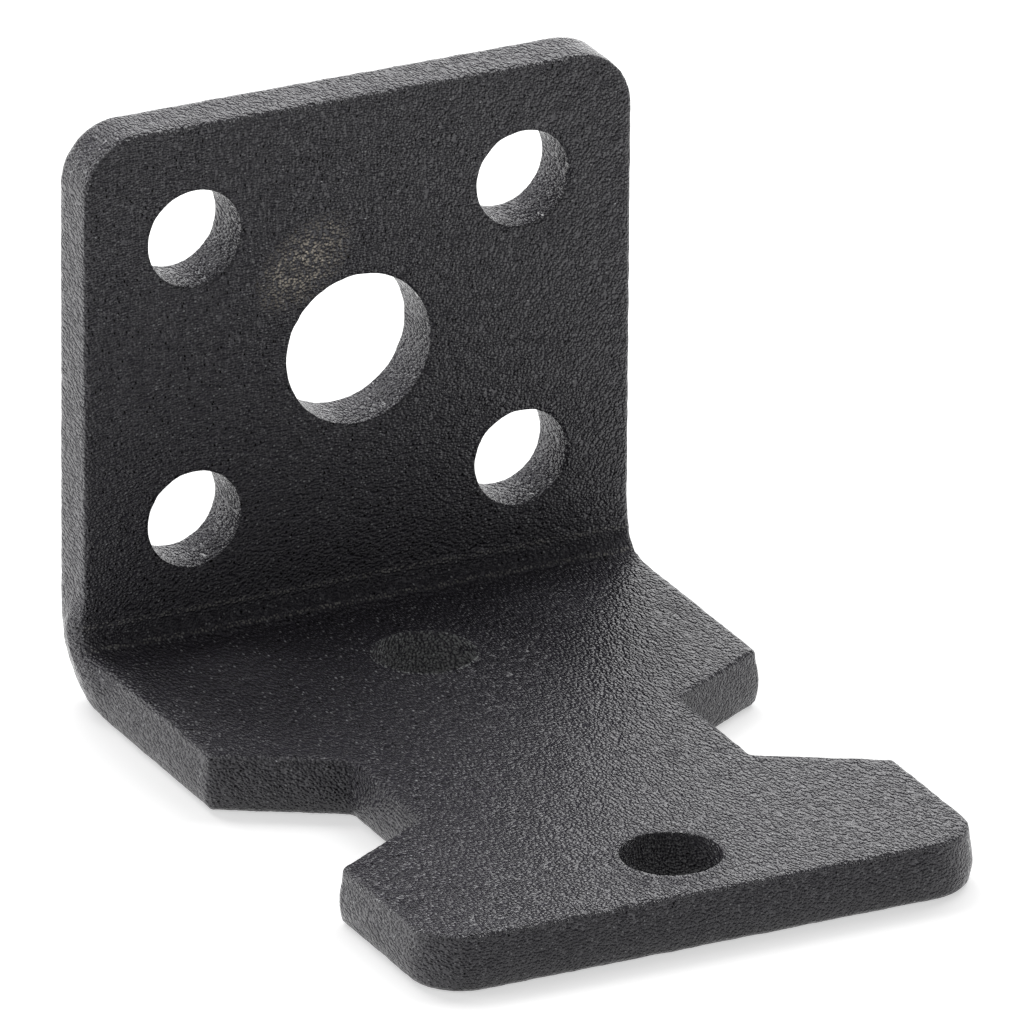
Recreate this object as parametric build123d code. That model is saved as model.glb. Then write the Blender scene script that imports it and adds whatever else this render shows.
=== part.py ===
from build123d import *
import os

# Motor mounting bracket, folded from one piece of 2 mm sheet.
# A square upright wall carries the motor: a pilot hole for its boss and four
# screw holes on a rectangle. The foot, with two screw holes in line, has a
# trapezoidal notch in each side that leaves a narrow neck between the holes.
#
# Row frame, in millimetres: +Z up, +X along the fold, +Y from the foot's free
# end to the wall. The origin is midway between the foot's two holes, on the
# underside.

# ---- sheet and fold ----
sheet_thickness = 2.0
fold_inner_radius = 1.0
inner_edge_radius = 0.15    # outline's edge on the inside of the fold
outer_edge_radius = 0.25    # outline's edge on the outside of the fold

# ---- wall and its motor holes ----
motor_hole_spacing_x = 12.0
motor_hole_spacing_z = 10.0
motor_hole_diameter = 3.4
pilot_hole_diameter = 5.3
motor_hole_to_side = 4.0    # screw hole's centre to the wall's nearer side
motor_hole_to_top = 4.0     # upper screw hole's centre to the wall's top
motor_hole_to_fold = 3.0    # lower screw hole's centre to where the fold begins
wall_corner_radius = 2.0

# ---- foot ----
foot_hole_spacing = 18.0
foot_hole_diameter = 3.4
foot_hole_to_fold = 4.0     # nearer hole's centre to where the fold begins
foot_hole_to_end = 3.0      # farther hole's centre to the foot's free end
foot_corner_radius = 1.8

# ---- side notches in the foot ----
neck_width = 12.0
neck_length = 5.1
neck_past_middle = 0.35     # neck's centre from the holes' middle, to the free end
notch_flank_run = 2.35      # length along the foot that each slanting flank takes
notch_corner_radius = 0.25

# ---- metal squeezed out at the ends of the fold ----
bulge_height = 0.25         # how far it stands out of the side
bulge_root = 0.5            # how far its middle lies inside the side
bulge_length = 3.2          # along the fold's arc
bulge_depth = 0.9           # its middle, below the inside of the fold

# ---- places that follow from the sizes ----
bracket_width = motor_hole_spacing_x + 2 * motor_hole_to_side
half_width = bracket_width / 2
fold_outer_radius = fold_inner_radius + sheet_thickness
fold_axis_y = foot_hole_spacing / 2 + foot_hole_to_fold
fold_axis_z = fold_outer_radius
wall_inner_y = fold_axis_y + fold_inner_radius
wall_outer_y = fold_axis_y + fold_outer_radius
foot_end_y = -foot_hole_spacing / 2 - foot_hole_to_end
motor_axis_height = fold_axis_z + motor_hole_to_fold + motor_hole_spacing_z / 2
wall_height = motor_axis_height + motor_hole_spacing_z / 2 + motor_hole_to_top
neck_centre_y = -neck_past_middle
bracket_length = wall_outer_y - foot_end_y


def folded_sheet():
    """The sheet's L-shaped section, carried along the whole width."""
    section = make_face(
        Polyline(
            (foot_end_y, 0),
            (wall_outer_y, 0),
            (wall_outer_y, wall_height),
            (wall_inner_y, wall_height),
            (wall_inner_y, sheet_thickness),
            (foot_end_y, sheet_thickness),
            close=True,
        )
    )
    inner_corner = section.vertices().sort_by_distance((wall_inner_y, sheet_thickness))[0]
    section = fillet(inner_corner, fold_inner_radius)
    outer_corner = section.vertices().sort_by_distance((wall_outer_y, 0))[0]
    section = fillet(outer_corner, fold_outer_radius)
    return extrude(Plane.YZ * section, amount=half_width, both=True)


def plan_outline():
    """The blank seen from above: a rectangle with a notch in each side."""
    neck_start_y = neck_centre_y - neck_length / 2
    neck_end_y = neck_centre_y + neck_length / 2
    notch = make_face(
        Polyline(
            (half_width, neck_start_y - notch_flank_run),
            (neck_width / 2, neck_start_y),
            (neck_width / 2, neck_end_y),
            (half_width, neck_end_y + notch_flank_run),
            close=True,
        )
    )
    middle_y = (foot_end_y + wall_outer_y) / 2
    outline = Pos(0, middle_y) * Rectangle(bracket_width, bracket_length)
    outline = outline - notch - mirror(notch, Plane.YZ)
    ends = outline.vertices().group_by(Axis.Y)
    outline = fillet(ends[0], foot_corner_radius)
    notch_corners = outline.vertices().filter_by_position(
        Axis.Y,
        neck_start_y - notch_flank_run,
        neck_end_y + notch_flank_run,
    )
    return fillet(notch_corners, notch_corner_radius)


def wall_outline():
    """The blank seen from the motor's side, with the wall's rounded top corners."""
    outline = Pos(0, wall_height / 2) * Rectangle(bracket_width, wall_height)
    top_corners = outline.vertices().group_by(Axis.Y)[-1]
    return fillet(top_corners, wall_corner_radius)


def motor_holes():
    """Pilot hole and screw holes, as cylinders that pass through the wall."""
    across_wall = Plane(
        origin=(0, wall_outer_y - sheet_thickness / 2, motor_axis_height),
        x_dir=(1, 0, 0),
        z_dir=(0, -1, 0),
    )
    length = 2 * sheet_thickness
    pilot = Cylinder(pilot_hole_diameter / 2, length)
    screw = Cylinder(motor_hole_diameter / 2, length)
    screws = GridLocations(motor_hole_spacing_x, motor_hole_spacing_z, 2, 2) * screw
    return across_wall * (Part() + pilot + screws)


def foot_holes():
    """The two screw holes, as cylinders that pass through the foot."""
    screw = Cylinder(foot_hole_diameter / 2, 2 * sheet_thickness)
    places = GridLocations(foot_hole_spacing, foot_hole_spacing, 1, 2)
    return Pos(0, 0, sheet_thickness / 2) * (Part() + places * screw)


def depth_below_outside(point):
    """How deep a point lies in the sheet, from the outside of the fold."""
    in_wall = point.Z > fold_axis_z
    in_foot = point.Y < fold_axis_y
    if in_foot:
        return point.Z
    if in_wall:
        return wall_outer_y - point.Y
    from_axis = Vector(0, point.Y - fold_axis_y, point.Z - fold_axis_z).length
    return fold_outer_radius - from_axis


def rim_edges(body, depth):
    """The edges round one skin of the sheet, without the lines where the fold begins."""
    hair = 1e-4
    rims = ShapeList()
    for edge in body.edges():
        places = [edge @ 0, edge @ 0.5, edge @ 1]
        on_skin = all(abs(depth_below_outside(place) - depth) < hair for place in places)
        along_x = abs(places[0].X - places[2].X) > bracket_width / 2
        at_fold = (
            abs(places[1].Y - fold_axis_y) < hair or abs(places[1].Z - fold_axis_z) < hair
        )
        if on_skin and not (along_x and at_fold):
            rims.append(edge)
    return rims


def fold_bulge(side):
    """The low swelling of metal that the fold squeezes out at one end."""
    reach = bulge_root + bulge_height
    swelling = scale(Sphere(1), by=(reach, bulge_length / 2, bulge_depth))
    out_from_axis = fold_inner_radius + bulge_depth
    on_arc = Pos(0, fold_axis_y, fold_axis_z) * Rot(X=45) * Pos(0, 0, -out_from_axis)
    return Pos(side * (half_width - bulge_root), 0, 0) * on_arc * swelling


bracket = folded_sheet()
bracket = bracket & extrude(plan_outline(), amount=wall_height)
bracket = bracket & extrude(Plane.XZ * wall_outline(), amount=bracket_length, both=True)
bracket = fillet(rim_edges(bracket, 0), outer_edge_radius)
bracket = fillet(rim_edges(bracket, sheet_thickness), inner_edge_radius)
bracket = bracket + fold_bulge(1) + fold_bulge(-1)
bracket = bracket - motor_holes() - foot_holes()

os.makedirs("parts", exist_ok=True)
export_step(bracket, "parts/bracket.step")
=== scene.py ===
import math

import bmesh
import bpy
import numpy
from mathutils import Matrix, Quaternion, Vector, noise


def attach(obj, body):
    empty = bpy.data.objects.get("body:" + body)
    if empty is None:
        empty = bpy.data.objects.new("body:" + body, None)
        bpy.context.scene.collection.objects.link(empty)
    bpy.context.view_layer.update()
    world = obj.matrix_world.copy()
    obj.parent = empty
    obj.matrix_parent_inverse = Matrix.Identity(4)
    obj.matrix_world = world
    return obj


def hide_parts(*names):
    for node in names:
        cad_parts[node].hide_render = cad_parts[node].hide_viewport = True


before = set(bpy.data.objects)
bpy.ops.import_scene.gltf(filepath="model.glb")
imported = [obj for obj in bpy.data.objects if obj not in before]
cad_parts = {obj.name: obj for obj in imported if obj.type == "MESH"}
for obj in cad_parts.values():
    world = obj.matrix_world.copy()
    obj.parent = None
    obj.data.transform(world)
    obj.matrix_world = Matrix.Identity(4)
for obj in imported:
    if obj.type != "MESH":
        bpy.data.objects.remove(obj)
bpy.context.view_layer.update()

# ---------------------------------------------------------------- the folded sheet
# One blank of 2 mm sheet, cut to its outline with seven holes, and folded once at a right angle.
# Tumbling rounds the cut edges, and the fold squeezes its two ends outwards, before the powder
# coat goes on and leaves the whole skin slightly uneven.
millimetre = 0.001
skin_pitch = 0.15
skin_depth = 8
skin_smoothing = 0.5
merge_distance = 0.002

folded_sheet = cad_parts["bracket"]
blank = bmesh.new()
blank.from_mesh(folded_sheet.data)
bmesh.ops.scale(blank, vec=Vector((1, 1, 1)) / millimetre, verts=blank.verts)
bmesh.ops.remove_doubles(blank, verts=blank.verts, dist=merge_distance)
bmesh.ops.recalc_face_normals(blank, faces=blank.faces)
blank_mesh = bpy.data.meshes.new("bracket_blank")
blank.to_mesh(blank_mesh)
blank.free()
blank_object = bpy.data.objects.new("bracket_blank", blank_mesh)
bpy.context.scene.collection.objects.link(blank_object)
even_skin = blank_object.modifiers.new("even_skin", "REMESH")
even_skin.mode = "SHARP"
even_skin.octree_depth = skin_depth
even_skin.scale = max(blank_object.dimensions) / (skin_pitch * 2**skin_depth)
even_skin.use_remove_disconnected = False
evaluated = blank_object.evaluated_get(bpy.context.evaluated_depsgraph_get())
shell_mesh = bpy.data.meshes.new_from_object(evaluated)
shell_mesh.name = "bracket_shell"
bpy.data.objects.remove(blank_object)

shell = bmesh.new()
shell.from_mesh(shell_mesh)

# The holes were punched clean: after the skin is smoothed, their walls are set true again. Each
# has the two coordinates of its axis in the wall or in the foot, and its radius.
wall_holes = ((0, 11, 2.65), (6, 6, 1.7), (6, 16, 1.7), (-6, 6, 1.7), (-6, 16, 1.7))
foot_holes = ((0, 9, 1.7), (0, -9, 1.7))
fold_axis = Vector((0, 13, 3))
rim_margin = 0.35
true_margin = 0.13

bmesh.ops.smooth_vert(
    shell,
    verts=shell.verts,
    factor=skin_smoothing,
    use_axis_x=True,
    use_axis_y=True,
    use_axis_z=True,
)


def nearest_hole(place):
    """A place's radius from the axis of the hole beside it, and that hole's own radius."""
    if place.z > fold_axis.z:
        radii = [(math.hypot(place.x - x, place.z - z), x, z, r) for x, z, r in wall_holes]
    else:
        radii = [(math.hypot(place.x - x, place.y - y), x, y, r) for x, y, r in foot_holes]
    return min(radii, key=lambda found: abs(found[0] - found[3]))


for vert in shell.verts:
    radius, centre, level, hole_radius = nearest_hole(vert.co)
    if abs(radius - hole_radius) > true_margin:
        continue
    stretch_out = hole_radius / radius
    vert.co.x = centre + (vert.co.x - centre) * stretch_out
    if vert.co.z > fold_axis.z:
        vert.co.z = level + (vert.co.z - level) * stretch_out
    else:
        vert.co.y = level + (vert.co.y - level) * stretch_out

# The fold's ends swell below the inside skin and draw in at the outside one, so far out at each
# depth in the sheet. The even lumps of the blank are taken back where the swelling stands.
half_width = 10
fold_inner_radius = 1
sheet_thickness = 2
swell_depths = (0, 0.35, 0.7, 1.2, 1.6, 2)
swell_heights = (0.12, 0.29, 0.35, 0.2, 0.06, -0.06)
left_swelling = 1.1
right_swelling = 0.4
swell_core = 0.9
swell_reach = 2.6
swell_root = 2.5
swell_full = 0.3
swell_margin = 0.5
lump_height = 0.25
lump_root = 0.5
lump_half_length = 1.6
lump_half_depth = 0.9


def smooth_step(start, end, value):
    """0 before start, 1 after end, and a soft rise between."""
    part = min(max((value - start) / (end - start), 0), 1)
    return part * part * (3 - 2 * part)


for vert in shell.verts:
    across = abs(vert.co.x)
    if across < half_width - swell_root:
        continue
    in_foot = fold_axis.y - vert.co.y
    in_wall = vert.co.z - fold_axis.z
    if in_foot > 0 and in_foot >= in_wall:
        depth = sheet_thickness - vert.co.z
        along = -math.pi / 2 - in_foot
    elif in_wall > 0:
        depth = vert.co.y - fold_axis.y - fold_inner_radius
        along = math.pi / 2 + in_wall
    else:
        depth = math.hypot(in_foot, in_wall) - fold_inner_radius
        along = 2 * (math.atan2(-in_foot, -in_wall) - math.pi / 4)
    if depth < -swell_margin:
        continue
    swell = float(numpy.interp(depth, swell_depths, swell_heights))
    lump_part = (depth - lump_half_depth) ** 2 / lump_half_depth**2 + along**2 / lump_half_length**2
    lump = (lump_root + lump_height) * math.sqrt(max(1 - lump_part, 0)) - lump_root
    share = 1 - smooth_step(swell_core, swell_reach, abs(along))
    root = smooth_step(half_width - swell_root, half_width - swell_full, across)
    swelling = right_swelling if vert.co.x > 0 else left_swelling
    vert.co.x += math.copysign(1, vert.co.x) * root * (share * swelling * swell - max(lump, 0))

# The press leaves two low ridges along the inside of the fold. Each has its turn round the fold in
# degrees, its height and its width.
press_marks = ((34, 0.09, 0.14), (80, 0.05, 0.14))
press_depth = 0.2
press_margin = 0.3
press_unevenness = 0.6
press_pitch = 0.9
for vert in shell.verts:
    in_foot = fold_axis.y - vert.co.y
    in_wall = vert.co.z - fold_axis.z
    from_axis = math.hypot(in_foot, in_wall)
    if abs(from_axis - fold_inner_radius) > press_depth or max(in_foot, in_wall) > press_margin:
        continue
    turn = math.atan2(-in_foot, -in_wall)
    inward = Vector((0, in_foot, in_wall)) / from_axis
    for mark_turn, mark_height, mark_width in press_marks:
        aside = (turn - math.radians(mark_turn)) * fold_inner_radius / mark_width
        wander = noise.noise(Vector((vert.co.x / press_pitch, mark_turn, 0)))
        unevenness = 1 + press_unevenness * wander
        vert.co += inward * mark_height * unevenness * math.exp(-aside * aside)

# Tumbling leaves the foot's cut edges full, most of all just below their middle.
edge_fullness = 0.12
fullness_drop = 0.75
fullness_fade = (11, 13)
shell.normal_update()
for vert in shell.verts:
    on_foot = 1 - smooth_step(*fullness_fade, vert.co.y)
    outward = Vector((vert.normal.x, vert.normal.y, 0))
    radius, _, _, hole_radius = nearest_hole(vert.co)
    if on_foot == 0 or radius < hole_radius + rim_margin:
        continue
    height = min(max(vert.co.z / sheet_thickness, 0), 1)
    full = math.sin(math.pi * height**fullness_drop) ** 2
    vert.co += outward * edge_fullness * full * on_foot

# The powder gathers into a slight bead round the rims of the foot's holes.
bead_height = 0.06
bead_width = 0.2
bead_reach = 3 * bead_width
bead_depth = 0.3
for vert in shell.verts:
    if vert.co.z < sheet_thickness - bead_depth or vert.co.y > fold_axis.y:
        continue
    for x, y, hole_radius in foot_holes:
        from_rim = math.hypot(vert.co.x - x, vert.co.y - y) - hole_radius
        if abs(from_rim) < bead_reach:
            vert.co.z += bead_height * math.exp(-((from_rim / bead_width) ** 2))

# The coat bakes to a faintly rippled skin.
ripple_pitches = (0.45, 0.22)
ripple_heights = (0.018, 0.008)
shell.normal_update()
for vert in shell.verts:
    lift = sum(
        height * noise.noise(vert.co / pitch) for pitch, height in zip(ripple_pitches, ripple_heights)
    )
    vert.co += vert.normal * lift

bmesh.ops.scale(shell, vec=Vector((1, 1, 1)) * millimetre, verts=shell.verts)
bmesh.ops.recalc_face_normals(shell, faces=shell.faces)
for face in shell.faces:
    face.smooth = True
shell.to_mesh(shell_mesh)
shell.free()

bracket_shell = bpy.data.objects.new("bracket_shell", shell_mesh)
bpy.context.scene.collection.objects.link(bracket_shell)
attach(bracket_shell, "root")
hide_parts("bracket")


# ---------------------------------------------------------------- the powder coat
# A fine-texture polyester powder in black, sprayed on and baked. It dries to a tight sandy grain
# of low domes, each of which catches the light. A few grain tips are painted light grey as painted
# glints, and a few are painted black with no gloss as painted shade in pinholes.
coat_grey = (0.049, 0.046, 0.057, 1)
# The light grey below is painted glints on a few grain tips, and the black is painted shade on a few
# others.
painted_glint_grey = (0.4, 0.4, 0.42, 1)
pit_shade_black = (0.002, 0.002, 0.002, 1)
coat_roughness = 0.18
coat_ior = 1.5
coat_gloss = 0.6
grain_size = 0.1 * millimetre
grain_stretch = (1, 0.55, 1)
grain_height = 0.1 * millimetre
dome_span = (0.9, 0)
tip_span = (0.5, 0.2)
# The grain tips below take the rubbed wear, the painted ridge highlights and the painted light in the
# hole.
worn_and_lit_span = (0.55, 0.3)
painted_glint_share = 0.13
pit_shade_share = 0.035


def node_tree_of(owner):
    """The node tree of a material or a world, emptied."""
    owner.use_nodes = True
    owner.node_tree.nodes.clear()
    return owner.node_tree


def feed(socket, value):
    """Links another node's output to a socket, or sets a plain value on it, in the latest tree."""
    if isinstance(value, bpy.types.NodeSocket):
        tree.links.new(value, socket)
    else:
        socket.default_value = value


def result_of(operation, *values):
    """A sum on numbers, by a Math node."""
    node = tree.nodes.new("ShaderNodeMath")
    node.operation = operation
    for socket, value in zip(node.inputs, values):
        feed(socket, value)
    return node.outputs[0]


def product_of(first, *others):
    """Shares multiplied together."""
    product = first
    for other in others:
        product = result_of("MULTIPLY", product, other)
    return product


def vector_of(operation, *values):
    """A sum on places, by a Vector Math node."""
    node = tree.nodes.new("ShaderNodeVectorMath")
    node.operation = operation
    for socket, value in zip(node.inputs, values):
        feed(socket, value)
    return node.outputs["Value" if operation == "LENGTH" else "Vector"]


def share_along(value, span, rise="LINEAR"):
    """0 at the start of a span of values and 1 at its end."""
    node = tree.nodes.new("ShaderNodeMapRange")
    node.interpolation_type = rise
    feed(node.inputs["Value"], value)
    feed(node.inputs["From Min"], span[0])
    feed(node.inputs["From Max"], span[1])
    return node.outputs["Result"]


def painted(colour, paint, share):
    """A colour with a second one painted over it, as thickly as the share says."""
    node = tree.nodes.new("ShaderNodeMix")
    node.data_type = "RGBA"
    feed(node.inputs["Factor"], share)
    feed(node.inputs[6], colour)
    feed(node.inputs[7], paint)
    return node.outputs[2]


coat = bpy.data.materials.new("powder_coat")
tree = node_tree_of(coat)
place = tree.nodes.new("ShaderNodeTexCoord").outputs["Object"]
stretch = tree.nodes.new("ShaderNodeMapping")
feed(stretch.inputs["Vector"], place)
feed(stretch.inputs["Scale"], grain_stretch)
grains = tree.nodes.new("ShaderNodeTexVoronoi")
feed(grains.inputs["Vector"], stretch.outputs["Vector"])
feed(grains.inputs["Scale"], 1 / grain_size)
from_middle = grains.outputs["Distance"]
dome = share_along(from_middle, dome_span, "SMOOTHSTEP")
tip = share_along(from_middle, tip_span)
worn_and_lit_tip = share_along(from_middle, worn_and_lit_span)
chance = tree.nodes.new("ShaderNodeSeparateColor")
feed(chance.inputs["Color"], grains.outputs["Color"])
# A few grain tips are painted black: painted shade standing in for pinholes.
painted_pit_shade = product_of(result_of("LESS_THAN", chance.outputs["Green"], pit_shade_share), tip)
# A few other grain tips are painted light grey: painted glints.
painted_glint_tips = product_of(result_of("LESS_THAN", chance.outputs["Red"], painted_glint_share), tip)
painted_glints = product_of(painted_glint_tips, chance.outputs["Blue"])
colour = painted(coat_grey, pit_shade_black, painted_pit_shade)
colour = painted(colour, painted_glint_grey, painted_glints)

# Beside the pilot hole the motor's face has rubbed the tips of the grains down to a dull tan.
rub_place = Vector((-2.0, 14, 14.4)) * millimetre
rub_tilt = math.radians(-40)
rub_reach = Vector((2.2, 1, 1.35)) * millimetre
rub_span = (1, 0.3)
rub_tan = (1.0, 0.9, 0.76, 1)
patch_size = 0.4 * millimetre
patch_span = (0.25, 0.6)

rub_frame = tree.nodes.new("ShaderNodeMapping")
rub_frame.vector_type = "TEXTURE"
feed(rub_frame.inputs["Vector"], place)
feed(rub_frame.inputs["Location"], rub_place)
feed(rub_frame.inputs["Rotation"], (0, rub_tilt, 0))
feed(rub_frame.inputs["Scale"], rub_reach)
rubbed = share_along(vector_of("LENGTH", rub_frame.outputs["Vector"]), rub_span)
patches = tree.nodes.new("ShaderNodeTexNoise")
feed(patches.inputs["Vector"], place)
feed(patches.inputs["Scale"], 1 / patch_size)
feed(patches.inputs["Detail"], 1)
patchy = share_along(patches.outputs["Fac"], patch_span)
colour = painted(colour, rub_tan, product_of(patchy, rubbed, worn_and_lit_tip))

# Along the press's two ridges inside the fold the grain tips are painted a lighter grey: painted
# highlights on the ridges.
ridge_highlight_grey = (0.3, 0.29, 0.28, 1)
ridge_highlight_reach = 1.12 * millimetre
ridge_highlight_turn = math.radians(5)
across_fold = (0, 1, -1)

from_fold = vector_of("SUBTRACT", place, fold_axis * millimetre)
from_fold = vector_of("MULTIPLY", from_fold, across_fold)
inside_fold = result_of("LESS_THAN", vector_of("LENGTH", from_fold), ridge_highlight_reach)
fold_sides = tree.nodes.new("ShaderNodeSeparateXYZ")
feed(fold_sides.inputs["Vector"], from_fold)
fold_turn = result_of("ARCTAN2", fold_sides.outputs["Y"], fold_sides.outputs["Z"])
# Each ridge gets its painted highlight on the grain tips.
for mark_turn, _, _ in press_marks:
    on_mark = result_of("COMPARE", fold_turn, math.radians(mark_turn), ridge_highlight_turn)
    ridge_highlight = product_of(on_mark, inside_fold, worn_and_lit_tip, patchy)
    colour = painted(colour, ridge_highlight_grey, ridge_highlight)

# In the hole beside the fold the grain tips on its walls and rim are painted a light grey: painted
# light, standing in for the lit floor seen in the hole.
hole_light_place = Vector((0, 9, 0)) * millimetre
hole_light_reach = 1.8 * millimetre
hole_light_grey = (0.42, 0.43, 0.43, 1)
across_foot = (1, 1, 0)

from_hole_light = vector_of("MULTIPLY", vector_of("SUBTRACT", place, hole_light_place), across_foot)
hole_light = result_of("LESS_THAN", vector_of("LENGTH", from_hole_light), hole_light_reach)
colour = painted(colour, hole_light_grey, product_of(hole_light, worn_and_lit_tip))

relief = tree.nodes.new("ShaderNodeBump")
feed(relief.inputs["Strength"], 1)
feed(relief.inputs["Distance"], grain_height)
feed(relief.inputs["Height"], dome)
surface = tree.nodes.new("ShaderNodeBsdfPrincipled")
feed(surface.inputs["Base Color"], colour)
# The black tips are also made fully metallic, so they reflect nothing: more painted shade.
feed(surface.inputs["Metallic"], painted_pit_shade)
feed(surface.inputs["Roughness"], coat_roughness)
feed(surface.inputs["IOR"], coat_ior)
feed(surface.inputs["Specular IOR Level"], coat_gloss)
feed(surface.inputs["Normal"], relief.outputs["Normal"])
output = tree.nodes.new("ShaderNodeOutputMaterial")
feed(output.inputs["Surface"], surface.outputs[0])
bracket_shell.data.materials.clear()
bracket_shell.data.materials.append(coat)

# ---------------------------------------------------------------- the white table
# A plain white sheet of paper, wide enough to fill every view, which the bracket stands on. It
# shows as white to the camera and in reflections, and keeps a soft shadow round the part.
floor_reach = 0.5
floor_white = (0.8, 0.8, 0.8, 1)
floor_seen = 0.55
floor_mirrored = 0.7

floor_shape = bmesh.new()
bmesh.ops.create_grid(floor_shape, x_segments=1, y_segments=1, size=floor_reach)
floor_mesh = bpy.data.meshes.new("floor")
floor_shape.to_mesh(floor_mesh)
floor_shape.free()
floor = bpy.data.objects.new("floor", floor_mesh)
bpy.context.scene.collection.objects.link(floor)
paper = bpy.data.materials.new("white_paper")
tree = node_tree_of(paper)
matt = tree.nodes.new("ShaderNodeBsdfDiffuse")
feed(matt.inputs["Color"], floor_white)
path = tree.nodes.new("ShaderNodeLightPath")
seen = result_of("MAXIMUM", path.outputs["Is Camera Ray"], path.outputs["Is Transmission Ray"])
seen_glow = result_of("MULTIPLY", seen, floor_seen)
floor_glow = result_of("MULTIPLY_ADD", path.outputs["Is Glossy Ray"], floor_mirrored, seen_glow)
glow = tree.nodes.new("ShaderNodeEmission")
feed(glow.inputs["Strength"], floor_glow)
lit = tree.nodes.new("ShaderNodeAddShader")
feed(lit.inputs[0], matt.outputs[0])
feed(lit.inputs[1], glow.outputs[0])
output = tree.nodes.new("ShaderNodeOutputMaterial")
feed(output.inputs["Surface"], lit.outputs[0])
floor_mesh.materials.append(paper)

# ---------------------------------------------------------------- the studio
# Four large soft panels and a dim even surround. The strongest panels stand behind the bracket
# and to its back right, and a low one to the left lights the cut edges there.
surround_level = 0.216
surround_white = (1, 1, 1, 1)

world = bpy.data.worlds.new("surround")
bpy.context.scene.world = world
tree = node_tree_of(world)
path = tree.nodes.new("ShaderNodeLightPath")
seen = result_of("MAXIMUM", path.outputs["Is Camera Ray"], path.outputs["Is Transmission Ray"])
background = tree.nodes.new("ShaderNodeBackground")
feed(background.inputs["Color"], surround_white)
feed(background.inputs["Strength"], result_of("MAXIMUM", seen, surround_level))
output = tree.nodes.new("ShaderNodeOutputWorld")
feed(output.inputs["Surface"], background.outputs[0])

# The panels and the camera are aimed at the middle of the bracket. Each panel has its azimuth and
# elevation in degrees and its power in watts.
aim = Vector((0.00071, 0.00406, 0.00886))
panel_distance = 0.3
panel_width = 0.2
panels = {
    "back_right_panel": (120, 50, 0.37),
    "back_panel": (180, 50, 0.54),
    "low_back_right_panel": (150, 7, 0.165),
    "low_left_panel": (-120, 7, 0.3),
}


def towards(azimuth, elevation):
    """Unit vector from the bracket outwards, azimuth 0 towards -Y and growing towards +X."""
    az = math.radians(azimuth)
    el = math.radians(elevation)
    return Vector((math.sin(az) * math.cos(el), -math.cos(az) * math.cos(el), math.sin(el)))


for name, (azimuth, elevation, watts) in panels.items():
    lamp = bpy.data.lights.new(name, "AREA")
    lamp.shape = "DISK"
    lamp.size = panel_width
    lamp.energy = watts
    panel = bpy.data.objects.new(name, lamp)
    panel.location = aim + towards(azimuth, elevation) * panel_distance
    panel.rotation_mode = "QUATERNION"
    panel.rotation_quaternion = (-towards(azimuth, elevation)).to_track_quat("-Z", "Y")
    panel.visible_camera = False
    bpy.context.scene.collection.objects.link(panel)

view_azimuth = -26.607
view_elevation = 23.26
view_roll = 0.415
view_distance = 0.749
view_lens = 806.6
view_sensor = 36
view_nearest = 0.1
view_farthest = 10

camera = bpy.data.cameras.new("camera")
camera.lens = view_lens
camera.sensor_width = view_sensor
camera.clip_start = view_nearest
camera.clip_end = view_farthest
camera_stand = bpy.data.objects.new("camera", camera)
back = towards(view_azimuth, view_elevation)
camera_stand.location = aim + back * view_distance
camera_stand.rotation_mode = "QUATERNION"
level_turn = (-back).to_track_quat("-Z", "Y")
camera_stand.rotation_quaternion = level_turn @ Quaternion((0, 0, 1), math.radians(view_roll))
bpy.context.scene.collection.objects.link(camera_stand)
bpy.context.scene.camera = camera_stand
bpy.context.scene.view_settings.view_transform = "Standard"
